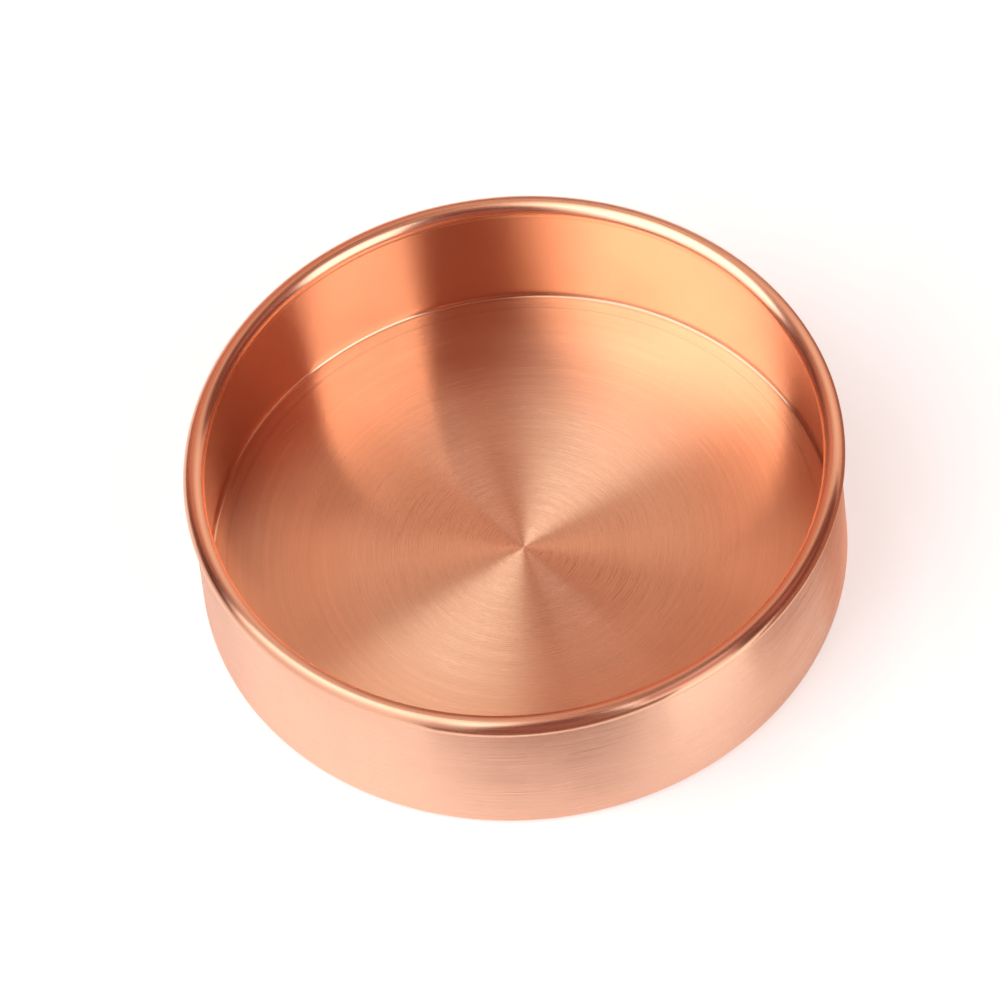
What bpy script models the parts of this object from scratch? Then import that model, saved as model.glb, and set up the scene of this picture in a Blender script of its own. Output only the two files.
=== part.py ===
"""Round copper tray: a polished outer shell, a brushed inner pan nested in it, a packing disc
between their two floors, and a slotted round bead that closes both edges at the top.

Every piece is turned about Z. The tray stands on z = 0 with its axis on Z, in metres.
"""

import math

import bpy

# Overall sizes
overall_diameter = 0.100
overall_height = 0.0262

# Sheet metal
shell_sheet = 0.0006
pan_sheet = 0.0006
seat_gap = 0.0003

# Outer shell: inside radius of its bottom edge, standing ring and the base pressed up inside the ring
shell_corner_radius = 0.0009
standing_ring_width = 0.0060
dish_slope_run = 0.0012
dish_depth = 0.0004

# Packing disc between the floors
packing_thickness = 0.0007

# Inner pan: inside radius between floor and wall
pan_corner_radius = 0.0006

# Rim bead: a tube slotted along its underside
bead_tube_wall = 0.0005
lip_clearance = 0.0003
bore_relief = 0.0001
edge_rise = 0.0004

# Smoothness of the turned shapes
turn_steps = 96
corner_steps = 6
bead_outer_steps = 18
bead_bore_steps = 9
sharp_angle = math.radians(35)
weld_distance = 0.00001

# The bead is centred on the two skins, and its outside sets the tray's diameter
wall_stack = shell_sheet + seat_gap + pan_sheet
slot_half_width = wall_stack / 2 + lip_clearance
bore_radius = slot_half_width + bore_relief
bead_radius = bore_radius + bead_tube_wall
bead_circle_radius = overall_diameter / 2 - bead_radius
bead_height = overall_height - bead_radius
skin_top = bead_height + edge_rise

shell_radius = bead_circle_radius + wall_stack / 2
shell_bore = shell_radius - shell_sheet
shell_flat = shell_bore - shell_corner_radius
pan_radius = shell_bore - seat_gap
pan_bore = pan_radius - pan_sheet
pan_flat = pan_bore - pan_corner_radius

# Heights of what rests on the pressed-up base
packing_bottom = dish_depth + shell_sheet + seat_gap
pan_bottom = packing_bottom + packing_thickness + seat_gap


def remove_everything():
    for thing in list(bpy.data.objects):
        bpy.data.objects.remove(thing)


def metal(name, colour, roughness):
    material = bpy.data.materials.new(name)
    material.use_nodes = True
    shader = material.node_tree.nodes["Principled BSDF"]
    shader.inputs["Base Color"].default_value = (*colour, 1)
    shader.inputs["Metallic"].default_value = 1
    shader.inputs["Roughness"].default_value = roughness
    material.diffuse_color = (*colour, 1)
    return material


def arc(centre, radius, start, end, steps):
    """Points of a circular arc about centre = (radius, height), from start to end in degrees."""
    angles = [math.radians(start + (end - start) * step / steps) for step in range(steps + 1)]
    return [
        (centre[0] + radius * math.cos(angle), centre[1] + radius * math.sin(angle))
        for angle in angles
    ]


def turned(name, profile, is_ring, material, height):
    """A solid turned about Z. The profile's (radius, height) points run down its outer side;
    a ring's profile closes on itself, and any other starts and ends on the axis."""
    count = len(profile)
    edges = [(index, index + 1) for index in range(count - 1)]
    if is_ring:
        edges.append((count - 1, 0))
    outline = bpy.data.meshes.new(name + "_outline")
    outline.from_pydata([(radius, 0, up) for radius, up in profile], edges, [])
    piece = bpy.data.objects.new(name, outline)
    collection.objects.link(piece)

    screw = piece.modifiers.new("Turn", "SCREW")
    screw.steps = turn_steps
    screw.render_steps = turn_steps
    screw.use_merge_vertices = True
    screw.merge_threshold = weld_distance
    graph = bpy.context.evaluated_depsgraph_get()
    solid = bpy.data.meshes.new_from_object(piece.evaluated_get(graph))
    piece.modifiers.clear()
    piece.data = solid
    bpy.data.meshes.remove(outline)

    solid.name = name
    solid.shade_smooth()
    solid.set_sharp_from_angle(angle=sharp_angle)
    solid.materials.append(material)
    piece.parent = tray_axis
    piece.location.z = height


def build_outer_shell():
    """Drawn cup that stands on a flat ring. Its base is pressed up inside the ring."""
    ring_inner = shell_flat - standing_ring_width
    dish_radius = ring_inner - dish_slope_run
    corner_centre = (shell_flat, shell_sheet + shell_corner_radius)
    inside = [
        (0, dish_depth + shell_sheet),
        (dish_radius, dish_depth + shell_sheet),
        (ring_inner, shell_sheet),
    ]
    inside += arc(corner_centre, shell_corner_radius, -90, 0, corner_steps)
    inside += [(shell_bore, skin_top)]
    outside = [(shell_radius, skin_top)]
    outside += arc(corner_centre, shell_corner_radius + shell_sheet, 0, -90, corner_steps)
    outside += [(ring_inner, 0), (dish_radius, dish_depth), (0, dish_depth)]
    turned("outer_shell", inside + outside, False, polished_copper, 0)


def build_packing_disc():
    """Flat disc under the whole flat of the pan's floor."""
    edge = min(pan_flat, shell_flat) - seat_gap
    profile = [(0, packing_thickness), (edge, packing_thickness), (edge, 0), (0, 0)]
    turned("packing_disc", profile, False, plain_steel, packing_bottom)


def build_inner_pan():
    """Drawn cup with a brushed floor. Heights here are from the underside of its floor."""
    wall_top = skin_top - pan_bottom
    corner_centre = (pan_flat, pan_sheet + pan_corner_radius)
    inside = [(0, pan_sheet)]
    inside += arc(corner_centre, pan_corner_radius, -90, 0, corner_steps)
    inside += [(pan_bore, wall_top)]
    outside = [(pan_radius, wall_top)]
    outside += arc(corner_centre, pan_corner_radius + pan_sheet, 0, -90, corner_steps)
    outside += [(0, 0)]
    turned("inner_pan", inside + outside, False, brushed_copper, pan_bottom)


def build_rim_bead():
    """Round tube with a slot below, whose lips grip the two skins. Heights are from its centre."""
    centre = (bead_circle_radius, 0)
    lip_angle = math.degrees(math.asin(slot_half_width / bead_radius))
    mouth_angle = math.degrees(math.asin(slot_half_width / bore_radius))
    outside = arc(centre, bead_radius, 270 - lip_angle, lip_angle - 90, bead_outer_steps)
    bore = arc(centre, bore_radius, mouth_angle - 90, 270 - mouth_angle, bead_bore_steps)
    turned("rim_bead", outside + bore, True, polished_copper, bead_height)


remove_everything()
collection = bpy.data.collections.new("round_metal_tray")
bpy.context.scene.collection.children.link(collection)
tray_axis = bpy.data.objects.new("tray_axis", None)
collection.objects.link(tray_axis)

polished_copper = metal("polished_copper", (0.90, 0.47, 0.31), 0.08)
brushed_copper = metal("brushed_copper", (0.84, 0.41, 0.25), 0.30)
plain_steel = metal("plain_steel", (0.52, 0.52, 0.54), 0.45)

build_outer_shell()
build_packing_disc()
build_inner_pan()
build_rim_bead()
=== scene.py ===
"""Round copper tray: finish, studio and camera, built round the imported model.

Metres, +Z up. The tray stands on z = 0 with its axis on Z, and the camera looks along +Y.
"""

import math

import bpy
import numpy as np
from mathutils import Matrix, Vector


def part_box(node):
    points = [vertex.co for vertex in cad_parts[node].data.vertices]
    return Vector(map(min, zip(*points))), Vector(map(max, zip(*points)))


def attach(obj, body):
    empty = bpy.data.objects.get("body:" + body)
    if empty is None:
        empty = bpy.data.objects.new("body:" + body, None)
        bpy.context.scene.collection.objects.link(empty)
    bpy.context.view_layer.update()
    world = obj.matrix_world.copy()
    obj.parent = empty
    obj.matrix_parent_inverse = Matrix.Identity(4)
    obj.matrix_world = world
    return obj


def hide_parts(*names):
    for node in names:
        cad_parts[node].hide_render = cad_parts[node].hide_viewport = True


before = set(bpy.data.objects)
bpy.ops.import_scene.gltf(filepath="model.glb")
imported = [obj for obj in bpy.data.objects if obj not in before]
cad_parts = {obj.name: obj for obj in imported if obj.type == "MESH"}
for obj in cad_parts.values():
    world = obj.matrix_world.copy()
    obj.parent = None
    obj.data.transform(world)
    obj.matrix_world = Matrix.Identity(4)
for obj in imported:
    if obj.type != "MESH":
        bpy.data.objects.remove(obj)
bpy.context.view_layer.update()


# Outer shell
# The straight polished side and the base that the tray stands on, drawn as one cup from copper
# sheet. Its lower edge is a small bend and its base is pressed up inside a flat standing ring.

sheet = 0.0006
shell_bend = 0.0009
standing_ring = 0.0060
dish_slope = 0.0012
dish_depth = 0.0004
turn_steps = 384
inner_bend_points = 9
outer_bend_points = 13
shell_step = 0.002
crease_angle = math.radians(40)

shell_colour = (0.95, 0.57, 0.41)


def arc(centre, radius, start, end, count):
    """Profile arc: radius * (cos, sin) of angles spaced evenly from start to end, plus centre."""
    angle = np.radians(np.linspace(start, end, count))
    return centre + radius * np.stack([np.cos(angle), np.sin(angle)], axis=1)


def spaced(profile, step):
    """Profile with each straight stretch cut into equal parts no longer than step."""
    stretches = []
    for near, far in zip(profile[:-1], profile[1:]):
        count = max(1, math.ceil(np.linalg.norm(far - near) / step))
        share = np.arange(count)[:, None] / count
        stretches.append(near + share * (far - near))
    return np.concatenate(stretches + [profile[-1:]])


def turned(name, profile, closed, steps=turn_steps, sharp=crease_angle):
    """A profile turned about Z: point (i, j) lies at radius[i] * (cos a, sin a), height[i] with
    a = 2 pi j / steps. Its UV map holds the length along the profile and the turn's share."""
    if closed:
        profile = np.concatenate([profile, profile[:1]])
    length = np.concatenate([[0], np.cumsum(np.linalg.norm(np.diff(profile, axis=0), axis=1))])
    rows = len(profile)
    angle = np.linspace(0, 2 * np.pi, steps, endpoint=False)
    grid = np.empty((rows, steps, 3))
    grid[:, :, 0] = profile[:, :1] * np.cos(angle)
    grid[:, :, 1] = profile[:, :1] * np.sin(angle)
    grid[:, :, 2] = profile[:, 1:]
    number = np.arange(rows * steps).reshape(rows, steps)
    if closed:
        number[-1] = number[0]
    else:
        number[0] = number[0, 0]
        number[-1] = number[-1, 0]
    following = np.roll(number, -1, axis=1)
    corners = np.stack([number[:-1], number[1:], following[1:], following[:-1]], axis=2)
    share = np.arange(steps) / steps
    along = np.broadcast_to(length[:, None], (rows, steps))
    near = np.broadcast_to(share, (rows - 1, steps))
    far = near + 1 / steps
    uv = np.stack(
        [
            np.stack([along[:-1], near], axis=2),
            np.stack([along[1:], near], axis=2),
            np.stack([along[1:], far], axis=2),
            np.stack([along[:-1], far], axis=2),
        ],
        axis=2,
    )
    corners = corners.reshape(-1, 4)
    uv = uv.reshape(-1, 4, 2)
    before = np.roll(corners, 1, axis=1)
    keep = corners != before
    sizes = keep.sum(axis=1)
    used, flat = np.unique(corners[keep], return_inverse=True)

    mesh = bpy.data.meshes.new(name)
    mesh.vertices.add(len(used))
    mesh.vertices.foreach_set("co", grid.reshape(-1, 3)[used].ravel())
    mesh.loops.add(len(flat))
    mesh.loops.foreach_set("vertex_index", flat.ravel())
    mesh.polygons.add(len(sizes))
    mesh.polygons.foreach_set("loop_start", np.concatenate([[0], np.cumsum(sizes)[:-1]]))
    mesh.update(calc_edges=True)
    layer = mesh.uv_layers.new(name="turned")
    layer.uv.foreach_set("vector", uv[keep].ravel())
    mesh.validate()
    mesh.shade_smooth()
    mesh.set_sharp_from_angle(angle=sharp)
    piece = bpy.data.objects.new(name, mesh)
    bpy.context.scene.collection.objects.link(piece)
    return piece


shell_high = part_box("outer_shell")[1]
shell_radius = shell_high.x
shell_bore = shell_radius - sheet
shell_flat = shell_bore - shell_bend
ring_inner = shell_flat - standing_ring
dish_radius = ring_inner - dish_slope
bend_centre = (shell_flat, sheet + shell_bend)
shell_profile = np.concatenate(
    [
        [(0, dish_depth + sheet), (dish_radius, dish_depth + sheet), (ring_inner, sheet)],
        arc(bend_centre, shell_bend, -90, 0, inner_bend_points),
        [(shell_bore, shell_high.z), (shell_radius, shell_high.z)],
        arc(bend_centre, shell_bend + sheet, 0, -90, outer_bend_points),
        [(ring_inner, 0), (dish_radius, dish_depth), (0, dish_depth)],
    ]
)
shell = turned("shell_skin", spaced(shell_profile, shell_step), closed=False)


def new_material(name):
    """An empty node material: the material, its node tree and its Principled shader."""
    material = bpy.data.materials.new(name)
    material.use_nodes = True
    return material, material.node_tree, material.node_tree.nodes["Principled BSDF"]


def feed(tree, slot, value):
    """Puts a socket's output or a plain value into an input."""
    if isinstance(value, bpy.types.NodeSocket):
        tree.links.new(value, slot)
    else:
        slot.default_value = value


def calculate(tree, operation, *values):
    """A Math node on sockets or plain numbers."""
    node = tree.nodes.new("ShaderNodeMath")
    node.operation = operation
    for slot, value in zip(node.inputs, values):
        feed(tree, slot, value)
    return node.outputs["Value"]


def rise(tree, value, low, high, start=0.0, end=1.0):
    """A smooth step from start, where value is low, to end, where value is high."""
    node = tree.nodes.new("ShaderNodeMapRange")
    node.interpolation_type = "SMOOTHSTEP"
    for label, number in zip(["Value", "From Min", "From Max", "To Min", "To Max"],
                             [value, low, high, start, end]):
        feed(tree, node.inputs[label], number)
    return node.outputs["Result"]


def noise(tree, x, y, z, detail=2.0):
    """Noise about 0.5 with features one unit wide at the place (x, y, z)."""
    place = tree.nodes.new("ShaderNodeCombineXYZ")
    for slot, value in zip(place.inputs, [x, y, z]):
        feed(tree, slot, value)
    node = tree.nodes.new("ShaderNodeTexNoise")
    node.inputs["Scale"].default_value = 1
    node.inputs["Detail"].default_value = detail
    tree.links.new(place.outputs["Vector"], node.inputs["Vector"])
    return node.outputs["Fac"]


def start_effect(name, inputs, outputs):
    """A node group of numbers: its tree, what its inputs give and what its outputs take."""
    tree = bpy.data.node_groups.new(name, "ShaderNodeTree")
    for label, value in inputs.items():
        socket = tree.interface.new_socket(label, in_out="INPUT", socket_type="NodeSocketFloat")
        socket.default_value = value
    for label in outputs:
        tree.interface.new_socket(label, in_out="OUTPUT", socket_type="NodeSocketFloat")
    given = tree.nodes.new("NodeGroupInput").outputs
    taken = tree.nodes.new("NodeGroupOutput").inputs
    return tree, given, taken


def place_effect(tree, effect, **values):
    """The node group in a material, with its own values; a name's underscores are spaces."""
    node = tree.nodes.new("ShaderNodeGroup")
    node.node_tree = effect
    for label, value in values.items():
        feed(tree, node.inputs[label.replace("_", " ").title()], value)
    return node


def around_axis(tree):
    """The direction from the tray's axis as (x, y) of length one, with no seam."""
    object_place = tree.nodes.new("ShaderNodeTexCoord").outputs["Object"]
    flatten = tree.nodes.new("ShaderNodeVectorMath")
    flatten.operation = "MULTIPLY"
    flatten.inputs[1].default_value = (1, 1, 0)
    tree.links.new(object_place, flatten.inputs[0])
    direction = tree.nodes.new("ShaderNodeVectorMath")
    direction.operation = "NORMALIZE"
    tree.links.new(flatten.outputs["Vector"], direction.inputs[0])
    split = tree.nodes.new("ShaderNodeSeparateXYZ")
    tree.links.new(direction.outputs["Vector"], split.inputs["Vector"])
    return split.outputs["X"], split.outputs["Y"]


def along_profile(tree):
    """The length along the turned profile, in metres, from the UV map."""
    node = tree.nodes.new("ShaderNodeUVMap")
    node.uv_map = "turned"
    split = tree.nodes.new("ShaderNodeSeparateXYZ")
    tree.links.new(node.outputs["UV"], split.inputs["Vector"])
    return split.outputs["X"]


# Marks of an abrasive held against the turning metal: fine grooves in arcs round the axis, some
# of them scored deep, which scatter light wide across the groove and keep it crisp along it.
marks, given, taken = start_effect(
    "turning_marks",
    {"Ring Width": 0.0007, "Groove Width": 0.00004, "Scored": 0.5, "Contrast": 1.0},
    ["Scored", "Height", "Tone"],
)
east, north = around_axis(marks)
along = along_profile(marks)
ring_arc = 1.4
groove_arc = 3.0
rings = noise(
    marks,
    calculate(marks, "DIVIDE", along, given["Ring Width"]),
    calculate(marks, "MULTIPLY", east, ring_arc),
    calculate(marks, "MULTIPLY", north, ring_arc),
    detail=3.0,
)
grooves = noise(
    marks,
    calculate(marks, "DIVIDE", along, given["Groove Width"]),
    calculate(marks, "MULTIPLY", east, groove_arc),
    calculate(marks, "MULTIPLY", north, groove_arc),
    detail=1.0,
)
groove_softness = 0.06
ring_pull = 0.9
ring_depth = 0.00006
groove_depth = 0.000002
ring_offset = calculate(marks, "SUBTRACT", rings, 0.5)
ring_strength = calculate(marks, "MULTIPLY", ring_offset, given["Contrast"])
groove_level = calculate(marks, "MULTIPLY_ADD", ring_strength, ring_pull, grooves)
scored_below = calculate(marks, "SUBTRACT", 1.0, given["Scored"])
scored_above = calculate(marks, "ADD", scored_below, groove_softness)
ring_height = calculate(marks, "MULTIPLY", ring_strength, ring_depth)
groove_strength = calculate(marks, "MULTIPLY", grooves, given["Contrast"])
height = calculate(marks, "MULTIPLY_ADD", groove_strength, groove_depth, ring_height)
links = marks.links
links.new(rise(marks, groove_level, scored_below, scored_above), taken["Scored"])
links.new(height, taken["Height"])
links.new(ring_strength, taken["Tone"])

# Wear from handling: broad dull smudges and thin scratches that run any way.
wear, given, taken = start_effect("handling_wear", {"Smudge Size": 0.018}, ["Smudge", "Scratch"])
object_place = wear.nodes.new("ShaderNodeTexCoord").outputs["Object"]
split = wear.nodes.new("ShaderNodeSeparateXYZ")
wear.links.new(object_place, split.inputs["Vector"])
x, y, z = [calculate(wear, "DIVIDE", part, given["Smudge Size"]) for part in split.outputs]
smudge_from = 0.42
smudge_to = 0.68
clouds = noise(wear, x, y, z, detail=4.0)
wear.links.new(rise(wear, clouds, smudge_from, smudge_to), taken["Smudge"])
scratch_level = 0.5
scratch_half = 0.004
scratch_length = 0.35
scratch_width = 4.0
patch_from = 0.52
patch_to = 0.62
lines = noise(
    wear,
    calculate(wear, "MULTIPLY", calculate(wear, "ADD", x, y), scratch_length),
    calculate(wear, "MULTIPLY", calculate(wear, "SUBTRACT", x, y), scratch_width),
    calculate(wear, "MULTIPLY", z, scratch_width),
    detail=3.0,
)
off_line = calculate(wear, "ABSOLUTE", calculate(wear, "SUBTRACT", lines, scratch_level))
line = rise(wear, off_line, 0.0, scratch_half, 1.0, 0.0)
patches = rise(wear, noise(wear, y, z, x, detail=2.0), patch_from, patch_to)
wear.links.new(calculate(wear, "MULTIPLY", line, patches), taken["Scratch"])


def turned_copper(name, colour, fine, deep, scored, contrast, anisotropy=1.0):
    """Copper finished on the lathe: fine is the roughness of its fine grooves, deep that of its
    deep ones and scored the share of those."""
    material, tree, shader = new_material(name)
    turning = place_effect(tree, marks, scored=scored, contrast=contrast)
    turning.name = "Turning marks"
    worn = place_effect(tree, wear)
    smudge = worn.outputs["Smudge"]
    smudge_dulling = 0.02
    scratch_dulling = 0.012
    dulled = calculate(tree, "MULTIPLY_ADD", turning.outputs["Scored"], deep - fine, fine)
    dulled = calculate(tree, "MULTIPLY_ADD", smudge, smudge_dulling, dulled)
    dulled = calculate(tree, "MULTIPLY_ADD", worn.outputs["Scratch"], scratch_dulling, dulled)
    tree.links.new(dulled, shader.inputs["Roughness"])
    ring_tone = 0.55
    smudge_tone = -0.05
    tone = calculate(tree, "MULTIPLY_ADD", turning.outputs["Tone"], ring_tone, 1.0)
    tone = calculate(tree, "MULTIPLY_ADD", smudge, smudge_tone, tone)
    tinted = tree.nodes.new("ShaderNodeVectorMath")
    tinted.operation = "SCALE"
    tinted.inputs[0].default_value = colour
    tree.links.new(tone, tinted.inputs["Scale"])
    tree.links.new(tinted.outputs["Vector"], shader.inputs["Base Color"])
    bump = tree.nodes.new("ShaderNodeBump")
    bump.inputs["Distance"].default_value = 1
    tree.links.new(turning.outputs["Height"], bump.inputs["Height"])
    tree.links.new(bump.outputs["Normal"], shader.inputs["Normal"])
    tangent = tree.nodes.new("ShaderNodeTangent")
    tangent.direction_type = "UV_MAP"
    tangent.uv_map = "turned"
    tree.links.new(tangent.outputs["Tangent"], shader.inputs["Tangent"])
    shader.inputs["Metallic"].default_value = 1
    shader.inputs["Anisotropic"].default_value = anisotropy
    return material


satin = turned_copper(
    "satin_copper", shell_colour, fine=0.24, deep=0.31, scored=0.5, contrast=0.01
)
shell.data.materials.append(satin)
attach(shell, "root")
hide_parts("outer_shell")


# Packing disc
# A flat disc of plain mill-finish steel between the two copper floors. It keeps the pan's floor
# flat and level, and it is hidden once the tray is put together.

grain_length = 0.008
grain_width = 0.0004
grain_depth = 0.000005
grain_from = 0.2
grain_to = 0.8
smooth_steel = 0.35
rough_steel = 0.55
dark_steel = (0.46, 0.46, 0.48)
light_steel = (0.58, 0.58, 0.60)


def blended(tree, share, low, high):
    """The colour low where share is nothing, and high where it is one."""
    node = tree.nodes.new("ShaderNodeMix")
    node.data_type = "RGBA"
    for slot, colour in zip([node.inputs["A"], node.inputs["B"]], [low, high]):
        feed(tree, slot, colour if isinstance(colour, bpy.types.NodeSocket) else (*colour, 1))
    tree.links.new(share, node.inputs["Factor"])
    return node.outputs["Result"]


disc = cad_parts["packing_disc"]
steel, tree, shader = new_material("mill_steel")
shader.inputs["Metallic"].default_value = 1
split = tree.nodes.new("ShaderNodeSeparateXYZ")
tree.links.new(tree.nodes.new("ShaderNodeTexCoord").outputs["Object"], split.inputs["Vector"])
mill_grain = noise(
    tree,
    calculate(tree, "DIVIDE", split.outputs["X"], grain_length),
    calculate(tree, "DIVIDE", split.outputs["Y"], grain_width),
    calculate(tree, "DIVIDE", split.outputs["Z"], grain_width),
    detail=4.0,
)
steel_roughness = rise(tree, mill_grain, grain_from, grain_to, smooth_steel, rough_steel)
tree.links.new(steel_roughness, shader.inputs["Roughness"])
tree.links.new(blended(tree, mill_grain, dark_steel, light_steel), shader.inputs["Base Color"])
bump = tree.nodes.new("ShaderNodeBump")
bump.inputs["Distance"].default_value = grain_depth
tree.links.new(mill_grain, bump.inputs["Height"])
tree.links.new(bump.outputs["Normal"], shader.inputs["Normal"])
disc.data.materials.clear()
disc.data.materials.append(steel)


# Inner pan
# The cup that is seen from above, drawn from copper sheet and nested in the shell. Its floor and
# wall are brushed in circles on a lathe, and a small bend joins them.

pan_bend = 0.0006
pan_bend_points = 15
under_bend_points = 11
pan_step = 0.001

copper_colour = (0.97, 0.61, 0.42)
# The next two tints are painted reflection of copper in copper.
floor_reflection_colour = (0.955, 0.55, 0.36)
wall_bounce_colour = (0.97, 0.585, 0.42)

pan_low, pan_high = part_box("inner_pan")
pan_radius = pan_high.x
pan_bore = pan_radius - sheet
pan_flat = pan_bore - pan_bend
floor_top = pan_low.z + sheet
bend_centre = (pan_flat, floor_top + pan_bend)
pan_profile = np.concatenate(
    [
        [(0, floor_top)],
        arc(bend_centre, pan_bend, -90, 0, pan_bend_points),
        [(pan_bore, pan_high.z), (pan_radius, pan_high.z)],
        arc(bend_centre, pan_bend + sheet, 0, -90, under_bend_points),
        [(0, pan_low.z)],
    ]
)
pan = turned("pan_skin", spaced(pan_profile, pan_step), closed=False)

# The floor is scored most in its middle, and the wall is smoother and hardly marked.
middle = 0.012
middle_scored = 0.45
floor_scored = 0.20
wall_scored = 0.2
floor_contrast = 0.30
wall_contrast = 0.03
wall_smoothness = 0.72
wall_start = pan_flat + pan_bend * math.pi / 2
brushed = turned_copper(
    "brushed_copper", copper_colour, fine=0.25, deep=0.42, scored=0.5, contrast=floor_contrast
)
tree = brushed.node_tree
shader = tree.nodes["Principled BSDF"]
turning = tree.nodes["Turning marks"]
along = along_profile(tree)
scored = rise(tree, along, middle, pan_flat, middle_scored, floor_scored)
scored = rise(tree, along, pan_flat, wall_start, scored, wall_scored)
contrast = rise(tree, along, pan_flat, wall_start, floor_contrast, wall_contrast)
tree.links.new(scored, turning.inputs["Scored"])
tree.links.new(contrast, turning.inputs["Contrast"])
smoother = rise(tree, along, pan_flat - pan_bend, pan_flat + pan_bend / 2, 1.0, wall_smoothness)
dulled = shader.inputs["Roughness"].links[0].from_socket
tree.links.new(calculate(tree, "MULTIPLY", dulled, smoother), shader.inputs["Roughness"])

# The floor is painted redder towards the wall and the wall a deeper red: painted reflection
# of the copper faces in each other.
floor_reflection_start = 0.022
floor_reflection_end = 0.034
near_wall_reflection = rise(tree, along, floor_reflection_start, floor_reflection_end)
on_wall = rise(tree, along, pan_flat, wall_start)
floor_colour_reflected = blended(tree, near_wall_reflection, copper_colour, floor_reflection_colour)
tinted = shader.inputs["Base Color"].links[0].from_node
tree.links.new(blended(tree, on_wall, floor_colour_reflected, wall_bounce_colour), tinted.inputs[0])


def band(tree, value, centre, half):
    """One where value is at centre, and nothing from half away from it."""
    off = calculate(tree, "ABSOLUTE", calculate(tree, "SUBTRACT", value, centre))
    return rise(tree, off, 0.0, half, 1.0, 0.0)


def darken(tree, dark):
    """Takes the share in dark off the base colour."""
    shader = tree.nodes["Principled BSDF"]
    darkened = tree.nodes.new("ShaderNodeVectorMath")
    darkened.operation = "SCALE"
    tree.links.new(shader.inputs["Base Color"].links[0].from_socket, darkened.inputs[0])
    tree.links.new(calculate(tree, "SUBTRACT", 1.0, dark), darkened.inputs["Scale"])
    tree.links.new(darkened.outputs["Vector"], shader.inputs["Base Color"])


# Painted shade in the bend, strongest on the +X side, which dims the bend's bright line,
# and a painted line of shade on the floor just inside the bend.
bend_shade_dark = 0.30
bend_shade_half = 0.0008
bend_shade_left = -0.45
bend_shade_right = 0.25
least_bend_shade = 0.1
shade_line_inset = 0.0018
shade_line_half = 0.00022
shade_line_dark = 0.12
east = around_axis(tree)[0]
bend_shaded = rise(tree, east, bend_shade_left, bend_shade_right, least_bend_shade, 1.0)
in_bend = band(tree, along, pan_flat + pan_bend * math.pi / 4, bend_shade_half)
on_line = band(tree, along, pan_flat - shade_line_inset, shade_line_half)
# This darkening is painted shade in the bend and on the line beside it.
dark = calculate(tree, "MULTIPLY", calculate(tree, "MULTIPLY", in_bend, bend_shaded), bend_shade_dark)
dark = calculate(tree, "MULTIPLY_ADD", on_line, shade_line_dark, dark)
darken(tree, dark)
pan.data.materials.append(brushed)
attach(pan, "root")
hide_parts("inner_pan")


# Rim bead
# A round copper tube, slotted along its underside and pressed down over the two cut edges. It is
# polished brighter than the rest and stands proud of the wall on both sides.

tube_wall = 0.0005
lip_gap = 0.00002
tube_points = 73
bore_points = 25

bead_colour = (0.95, 0.555, 0.38)
# This colour is painted shade for the bead's outer shoulder.
shoulder_shade_colour = (0.30, 0.10, 0.06)

bead_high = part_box("rim_bead")[1]
wall_stack = shell_radius - pan_bore
bead_centre_radius = (shell_radius + pan_bore) / 2
bead_radius = bead_high.x - bead_centre_radius
bead_centre = (bead_centre_radius, bead_high.z - bead_radius)
slot_half = wall_stack / 2 + lip_gap
lip_angle = math.degrees(math.asin(slot_half / bead_radius))
bore_radius = bead_radius - tube_wall
mouth_angle = math.degrees(math.asin(slot_half / bore_radius))
bead_profile = np.concatenate(
    [
        arc(bead_centre, bead_radius, 270 - lip_angle, lip_angle - 90, tube_points),
        arc(bead_centre, bore_radius, mouth_angle - 90, 270 - mouth_angle, bore_points),
    ]
)
bead = turned("bead_tube", bead_profile, closed=True)
polished = turned_copper(
    "polished_copper", bead_colour, fine=0.22, deep=0.33, scored=0.4, contrast=0.1, anisotropy=0.75
)

# Painted shade on the outer shoulder of the bead, on both sides of the front, strongest on the +X
# side:
# a brown darkening that dims the highlights there.
tree = polished.node_tree
shader = tree.nodes["Principled BSDF"]
shoulder_shade_left = 0.66
shoulder_shade_right = 1.0
shoulder_shade_sides = (0.20, 0.34)
shoulder_shade_front = (-0.62, -0.42)
shoulder_shade_turn = 0.3
shoulder_shade_angle = 48
shoulder_shade_half_angle = 38
shoulder_shade_place = bead_radius * math.radians(270 - lip_angle - shoulder_shade_angle)
shoulder_shade_half = bead_radius * math.radians(shoulder_shade_half_angle)
shoulder = band(tree, along_profile(tree), shoulder_shade_place, shoulder_shade_half)
east, north = around_axis(tree)
beside = rise(tree, calculate(tree, "ABSOLUTE", east), *shoulder_shade_sides)
front = calculate(tree, "MULTIPLY_ADD", east, shoulder_shade_turn, north)
in_front = rise(tree, front, *shoulder_shade_front, 1.0, 0.0)
shaded_shoulder = calculate(tree, "MULTIPLY", calculate(tree, "MULTIPLY", shoulder, beside), in_front)
least_shoulder_shade = shoulder_shade_sides[0]
strength = rise(tree, east, -least_shoulder_shade, least_shoulder_shade, shoulder_shade_left, shoulder_shade_right)
shoulder_shade = calculate(tree, "MULTIPLY", shaded_shoulder, strength)
bare_copper = shader.inputs["Base Color"].links[0].from_socket
# The painted shade is blended over the bare copper here.
tree.links.new(blended(tree, shoulder_shade, bare_copper, shoulder_shade_colour), shader.inputs["Base Color"])
bead.data.materials.append(polished)
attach(bead, "root")
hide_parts("rim_bead")


# Table
# A plain pale table top. The camera and the metal see it white, and it keeps the tray's shadow.
# It lies a hair below the tray, and from below it is clear, so that the tray's base shows.

table_half = 12.0
table_top = -0.00005
table_roughness = 0.6
table_glow = 0.42
mirrored_share = 0.7
table_colour = (0.8, 0.8, 0.8)
table_glow_colour = (0.94, 0.98, 1)

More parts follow.
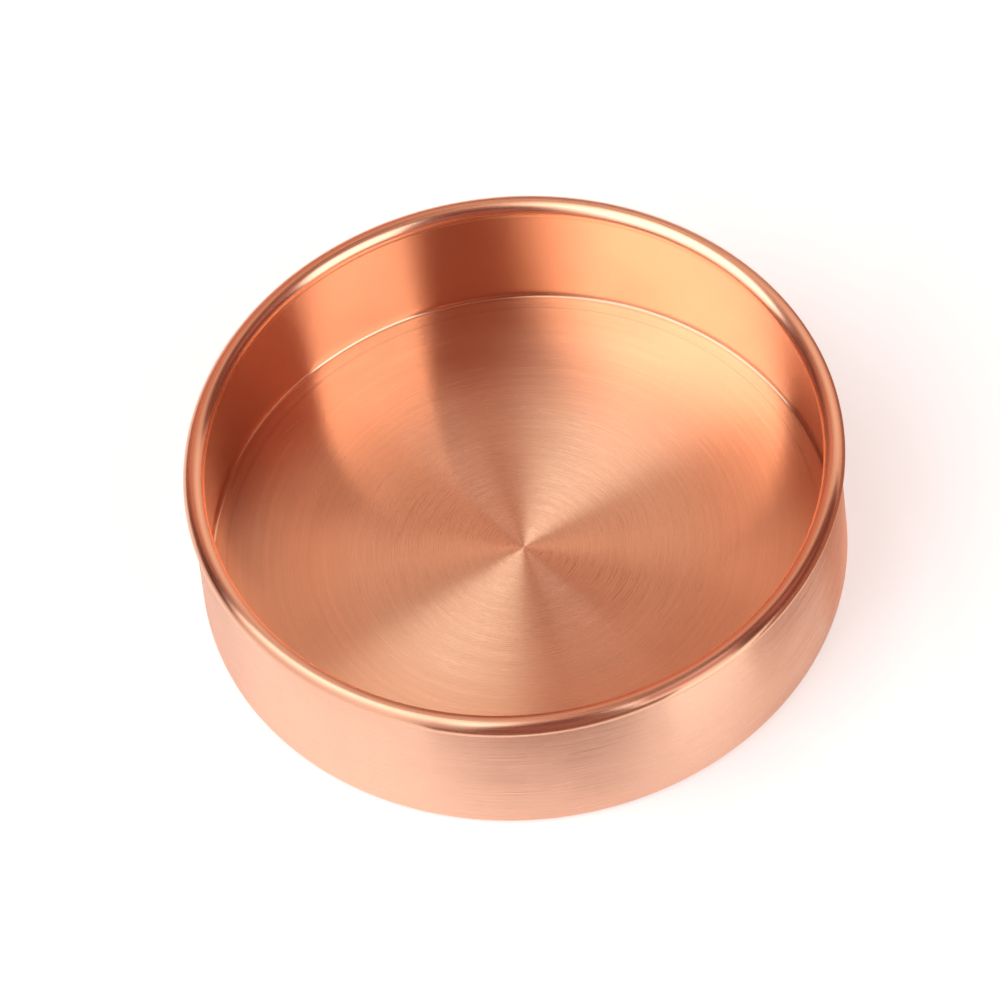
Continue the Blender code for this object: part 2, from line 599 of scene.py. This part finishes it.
table_mesh = bpy.data.meshes.new("table")
table_mesh.from_pydata(
    [
        (-table_half, -table_half, table_top),
        (table_half, -table_half, table_top),
        (table_half, table_half, table_top),
        (-table_half, table_half, table_top),
    ],
    [],
    [(0, 1, 2, 3)],
)
table = bpy.data.objects.new("table", table_mesh)
bpy.context.scene.collection.objects.link(table)
table_white, tree, shader = new_material("table_white")
shader.inputs["Base Color"].default_value = (*table_colour, 1)
shader.inputs["Roughness"].default_value = table_roughness
shader.inputs["Emission Color"].default_value = (*table_glow_colour, 1)
path = tree.nodes.new("ShaderNodeLightPath").outputs
mirrored = calculate(tree, "MAXIMUM", path["Is Glossy Ray"], path["Is Transmission Ray"])
mirrored = calculate(tree, "MULTIPLY", mirrored, mirrored_share)
seen = calculate(tree, "MAXIMUM", path["Is Camera Ray"], mirrored)
glow = calculate(tree, "MULTIPLY", seen, table_glow)
tree.links.new(glow, shader.inputs["Emission Strength"])
clear = tree.nodes.new("ShaderNodeBsdfTransparent")
sides = tree.nodes.new("ShaderNodeMixShader")
from_below = tree.nodes.new("ShaderNodeNewGeometry").outputs["Backfacing"]
tree.links.new(from_below, sides.inputs["Fac"])
tree.links.new(shader.outputs["BSDF"], sides.inputs[1])
tree.links.new(clear.outputs["BSDF"], sides.inputs[2])
tree.links.new(sides.outputs["Shader"], tree.nodes["Material Output"].inputs["Surface"])
table_mesh.materials.append(table_white)


# Studio
# Softboxes on the left and right in front and one overhead, a dim room behind, and the unlit
# studio beyond. Plain cards lie on the table beside the tray, where only its metal mirrors them.
# The camera sees none of these.

studio_radius = 4.0
near_room_radius = 4.05
room_radius = 4.2
ceiling_radius = 4.4
far_radius = 5.0


def studio_card(
    name, azimuths, elevations, colour, strength, soft, lean=(0, 0), foot=1, radius=studio_radius
):
    """A patch of a sphere round the tray: azimuth is 0 along +Y and grows towards +X, elevation
    is above the table. Its left and right sides lean as a tilted panel's do, by the arc sine of
    lean times the tangent of the elevation. It glows evenly but for its foot's share, and falls
    to nothing, as clear as it is dark, over the degrees in soft at its left, right, low and
    high edges."""
    columns, rows = 73, 41
    foot_top = 40
    up = np.linspace(*elevations, rows)[:, None]
    left, right = [
        azimuth + np.degrees(np.arcsin(np.clip(slope * np.tan(np.radians(up)), -1, 1)))
        for azimuth, slope in zip(azimuths, lean)
    ]
    east = left + (right - left) * np.linspace(0, 1, columns)
    azimuth = np.radians(east)
    elevation = np.radians(up)
    points = np.stack(
        [
            np.sin(azimuth) * np.cos(elevation),
            np.cos(azimuth) * np.cos(elevation),
            np.broadcast_to(np.sin(elevation), azimuth.shape),
        ],
        axis=2,
    )
    number = np.arange(rows * columns).reshape(rows, columns)
    faces = np.stack([number[:-1, :-1], number[:-1, 1:], number[1:, 1:], number[1:, :-1]], axis=2)
    mesh = bpy.data.meshes.new(name)
    mesh.from_pydata(points.reshape(-1, 3) * radius, [], faces.reshape(-1, 4).tolist())
    mesh.shade_smooth()

    def ramp(distance, width):
        return np.clip(distance / width, 0, 1) if width else np.ones_like(distance)

    glow = ramp(east - left, soft[0]) * ramp(right - east, soft[1])
    glow = glow * ramp(up - elevations[0], soft[2]) * ramp(elevations[1] - up, soft[3])
    glow = glow * np.clip(foot + (1 - foot) * up / foot_top, 0, 1)
    attribute = mesh.attributes.new("glow", "FLOAT", "POINT")
    attribute.data.foreach_set("value", glow.ravel())

    card = bpy.data.objects.new(name, mesh)
    bpy.context.scene.collection.objects.link(card)
    card.visible_camera = False
    material = bpy.data.materials.new(name)
    material.use_nodes = True
    tree = material.node_tree
    tree.nodes.remove(tree.nodes["Principled BSDF"])
    read = tree.nodes.new("ShaderNodeAttribute")
    read.attribute_name = "glow"
    glowing = tree.nodes.new("ShaderNodeEmission")
    glowing.inputs["Color"].default_value = (*colour, 1)
    glowing.inputs["Strength"].default_value = strength
    clear = tree.nodes.new("ShaderNodeBsdfTransparent")
    mixed = tree.nodes.new("ShaderNodeMixShader")
    tree.links.new(read.outputs["Fac"], mixed.inputs["Fac"])
    tree.links.new(clear.outputs["BSDF"], mixed.inputs[1])
    tree.links.new(glowing.outputs["Emission"], mixed.inputs[2])
    tree.links.new(mixed.outputs["Shader"], tree.nodes["Material Output"].inputs["Surface"])
    mesh.materials.append(material)


white = (1, 1, 1)
pale = (1, 0.93, 0.84)
tan = (1, 0.73, 0.61)
warm = (1, 0.70, 0.56)
amber = (1, 0.43, 0.30)
brown = (1, 0.57, 0.45)
rust = (1, 0.40, 0.34)
russet = (1, 0.38, 0.30)
black = (1, 0.32, 0.26)
studio_card(
    "left_softbox", (-162, -88), (-1, 80), white, 2.4, (26, 2, 0, 14), lean=(-0.06, 0.345), foot=0.4
)
studio_card(
    "right_softbox", (124, 155), (-1, 68), white, 2.2, (1, 1, 0, 14), lean=(-0.2, 0), foot=0.9
)
studio_card("overhead_softbox", (-168, -4), (57, 90), pale, 1.8, (14, 64, 4, 8))
studio_card(
    "room_right",
    (-4, 75),
    (-1, 57),
    tan,
    1.05,
    (40, 2, 0, 8),
    lean=(0, -0.37),
    foot=0.5,
    radius=near_room_radius,
)
studio_card("room_left", (-58, 4), (-1, 57), amber, 0.70, (26, 8, 0, 8), foot=0.5)
studio_card("room_high", (-24, 46), (20, 68), warm, 0.74, (24, 20, 24, 6), radius=room_radius)
studio_card("right_room", (74, 110), (25, 75), russet, 0.42, (8, 4, 10, 10), radius=room_radius)
studio_card("front_room", (157, 193), (4, 40), rust, 0.36, (4, 4, 6, 14), radius=room_radius)
studio_card("ceiling", (-180, 180), (70, 90), brown, 0.60, (0, 0, 10, 0), radius=ceiling_radius)
studio_card("unlit_studio", (-180, 180), (-1, 90), black, 0.175, (0, 0, 0, 0), radius=far_radius)


def table_card(name, azimuths, near, far, height, colour):
    """A flat card on the table, which the camera and the table's light don't see. It covers what
    the side mirrors between two of its azimuths: points lie from near to far along each mirrored
    ray, which leaves at twice the azimuth less a half turn. Near is a pair of distances, at the
    card's middle and at its two sides."""
    count = 33
    azimuth = np.radians(np.linspace(*azimuths, count))
    near = near[0] + (near[1] - near[0]) * np.linspace(-1, 1, count)[:, None] ** 2
    side = np.stack([np.sin(azimuth), np.cos(azimuth)], axis=1) * shell_radius
    ray = np.stack([np.sin(2 * azimuth - np.pi), np.cos(2 * azimuth - np.pi)], axis=1)
    points = np.concatenate([side + ray * near, side + ray * far])
    points = np.column_stack([points, np.full(len(points), height)])
    number = np.arange(2 * count).reshape(2, count)
    faces = np.stack([number[0, :-1], number[0, 1:], number[1, 1:], number[1, :-1]], axis=1)
    mesh = bpy.data.meshes.new(name)
    mesh.from_pydata(points, [], faces.tolist())
    card = bpy.data.objects.new(name, mesh)
    bpy.context.scene.collection.objects.link(card)
    card.visible_camera = False
    card.visible_diffuse = False
    card.visible_shadow = False
    material, tree, shader = new_material(name)
    shader.inputs["Base Color"].default_value = (0, 0, 0, 1)
    shader.inputs["Roughness"].default_value = 1
    shader.inputs["Specular IOR Level"].default_value = 0
    shader.inputs["Emission Color"].default_value = (*colour, 1)
    shader.inputs["Emission Strength"].default_value = 1
    mesh.materials.append(material)


low_card = 0.0005
high_card = 0.0006
table_card("front_card", (160, 198), (0.0175, 0.034), 1.2, low_card, (0.26, 0.11, 0.075))
table_card("bright_card", (143, 160), (0.020, 0.020), 0.3, high_card, (1.35, 1.3, 1.2))
table_card("right_card", (96, 118), (0.003, 0.003), 0.022, high_card, (0.90, 0.58, 0.46))
table_card("right_pale_card", (118, 143), (0.003, 0.003), 0.022, high_card, (1.05, 0.88, 0.80))
table_card("right_far_card", (96, 143), (0.022, 0.022), 1.2, high_card, (0.38, 0.16, 0.11))

world = bpy.data.worlds.new("white_backdrop")
bpy.context.scene.world = world
world.use_nodes = True
background = world.node_tree.nodes["Background"]
background.inputs["Color"].default_value = (1, 1, 1, 1)
background.inputs["Strength"].default_value = 1


# Camera
# Fitted to the rim's ellipse in the photograph: a long lens, well above the tray and a little
# tilted. Pixels are in a frame of 1000 by 1000.

frame_pixels = 1000
sensor = 0.036
focal_pixels = 15984
camera_elevation = math.radians(53.8)
camera_roll = math.radians(-6.87)
camera_distance = 2.406
camera_reach = 20
rim_centre_pixel = Vector((513.0, 457.1))

camera_data = bpy.data.cameras.new("camera")
camera_data.sensor_width = sensor * 1000
camera_data.lens = focal_pixels / frame_pixels * sensor * 1000
camera_data.clip_end = camera_reach
camera = bpy.data.objects.new("camera", camera_data)
bpy.context.scene.collection.objects.link(camera)
bpy.context.scene.camera = camera

offset = (rim_centre_pixel - Vector((frame_pixels, frame_pixels)) / 2) / focal_pixels
line_of_sight = Vector((offset.x, offset.y, 1)).normalized()
level_up = Vector((0, -1, 0))
level_up = (level_up - line_of_sight * line_of_sight.dot(level_up)).normalized()
sideways = line_of_sight.cross(level_up)
up = level_up * math.cos(camera_roll) + sideways * math.sin(camera_roll)
tray_z = -line_of_sight * math.sin(camera_elevation) + up * math.cos(camera_elevation)
tray_y = line_of_sight * math.cos(camera_elevation) + up * math.sin(camera_elevation)
tray_x = tray_y.cross(tray_z)
turn = Matrix((tray_x, tray_y, tray_z))
place = Vector((0, 0, bead_high.z)) - turn @ (line_of_sight * camera_distance)
camera.matrix_world = Matrix.Translation(place) @ (turn @ Matrix.Diagonal((1, -1, -1))).to_4x4()

bpy.context.scene.view_settings.view_transform = "Standard"
